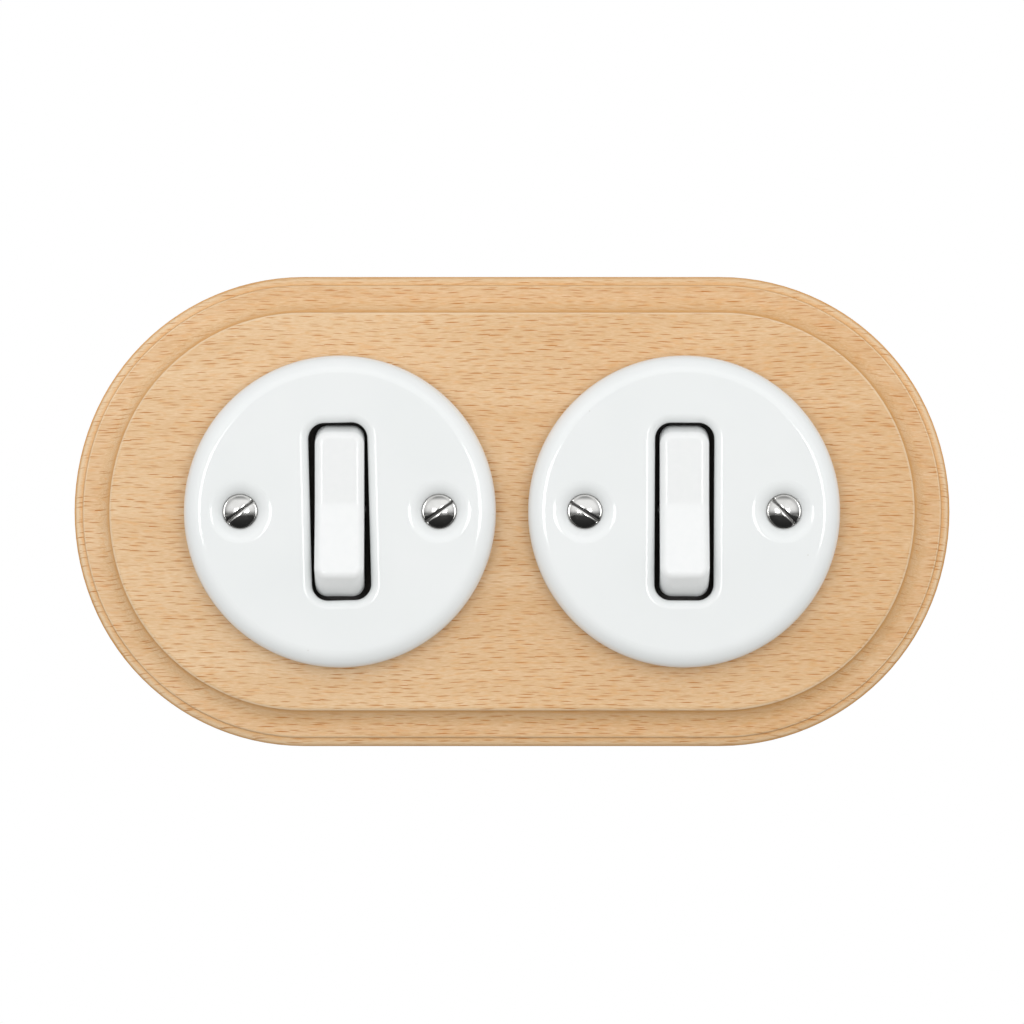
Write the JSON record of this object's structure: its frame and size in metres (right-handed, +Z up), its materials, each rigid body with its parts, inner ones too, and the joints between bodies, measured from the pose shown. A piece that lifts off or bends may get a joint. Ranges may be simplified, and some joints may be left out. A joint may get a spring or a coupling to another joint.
{
  "type": "two-gang rocker light switch",
  "caption": "Oval beech wall frame with round white porcelain covers, narrow white rockers, slotted screws and changeover mechanisms for flush wall boxes.",
  "frame": {"origin": "centre of the wooden frame's back, on the wall", "axes": "+X to the right, +Y into the wall, +Z up; the rockers face -Y"},
  "size_m": [0.182, 0.0453, 0.0976],
  "materials": {
    "beech": "turned and waxed beech",
    "porcelain": "white glaze",
    "rocker_plastic": "moulded gloss white",
    "nickel": "polished nickel plate",
    "brass": "machined brass",
    "silver": "silver contact faces",
    "spring_steel": "drawn spring wire",
    "zinc_steel": "zinc plated steel",
    "phenolic": "moulded phenolic"
  },
  "bodies": {
    "switch_frame": {"wooden_frame": "beech", "porcelain_cover_left": "porcelain", "cover_screws_left": "nickel", "cover_pillars_left": "brass", "fixed_contacts_left": "silver", "common_terminal_left": "brass", "upper_terminal_left": "brass", "lower_terminal_left": "brass", "terminal_screws_left": "zinc_steel", "rocker_keeper_left": "phenolic", "base_left": "phenolic", "back_plate_left": "phenolic", "bracket_left": "zinc_steel", "bracket_rivets_left": "zinc_steel", "porcelain_cover_right": "porcelain", "cover_screws_right": "nickel", "cover_pillars_right": "brass", "fixed_contacts_right": "silver", "common_terminal_right": "brass", "upper_terminal_right": "brass", "lower_terminal_right": "brass", "terminal_screws_right": "zinc_steel", "rocker_keeper_right": "phenolic", "base_right": "phenolic", "back_plate_right": "phenolic", "bracket_right": "zinc_steel", "bracket_rivets_right": "zinc_steel"},
    "rocker_left": {"rocker_left": "rocker_plastic", "plunger_spring_left": "spring_steel"},
    "plunger_left": {"plunger_left": "brass"},
    "contact_left": {"seesaw_contact_left": "brass", "moving_contacts_left": "silver"},
    "rocker_right": {"rocker_right": "rocker_plastic", "plunger_spring_right": "spring_steel"},
    "plunger_right": {"plunger_right": "brass"},
    "contact_right": {"seesaw_contact_right": "brass", "moving_contacts_right": "silver"}
  },
  "joints": [
    {"name": "rocker_tilt_left", "type": "hinge", "parent": "switch_frame", "child": "rocker_left", "pos_m": [-0.0355, -0.0125, 0], "axis": [1, 0, 0], "range_deg": [0, 16]},
    {"name": "plunger_slide_left", "type": "slide", "parent": "rocker_left", "child": "plunger_left", "axis": [0, -0.9903, 0.1392], "range_m": [0, 0.0008], "stiffness_N_per_m": 300, "springref_m": -0.003, "deforming": ["plunger_spring_left"]},
    {"name": "contact_tilt_left", "type": "hinge", "parent": "switch_frame", "child": "contact_left", "pos_m": [-0.0355, 0.00447, 0], "axis": [1, 0, 0], "range_deg": [-16, 0]},
    {"name": "rocker_tilt_right", "type": "hinge", "parent": "switch_frame", "child": "rocker_right", "pos_m": [0.0355, -0.0125, 0], "axis": [1, 0, 0], "range_deg": [0, 16]},
    {"name": "plunger_slide_right", "type": "slide", "parent": "rocker_right", "child": "plunger_right", "axis": [0, -0.9903, 0.1392], "range_m": [0, 0.0008], "stiffness_N_per_m": 300, "springref_m": -0.003, "deforming": ["plunger_spring_right"]},
    {"name": "contact_tilt_right", "type": "hinge", "parent": "switch_frame", "child": "contact_right", "pos_m": [0.0355, 0.00447, 0], "axis": [1, 0, 0], "range_deg": [-16, 0]}
  ],
  "couplings": [
    {"joint": "contact_tilt_left", "follows": "rocker_tilt_left", "ratio": -1},
    {"joint": "contact_tilt_right", "follows": "rocker_tilt_right", "ratio": -1}
  ]
}
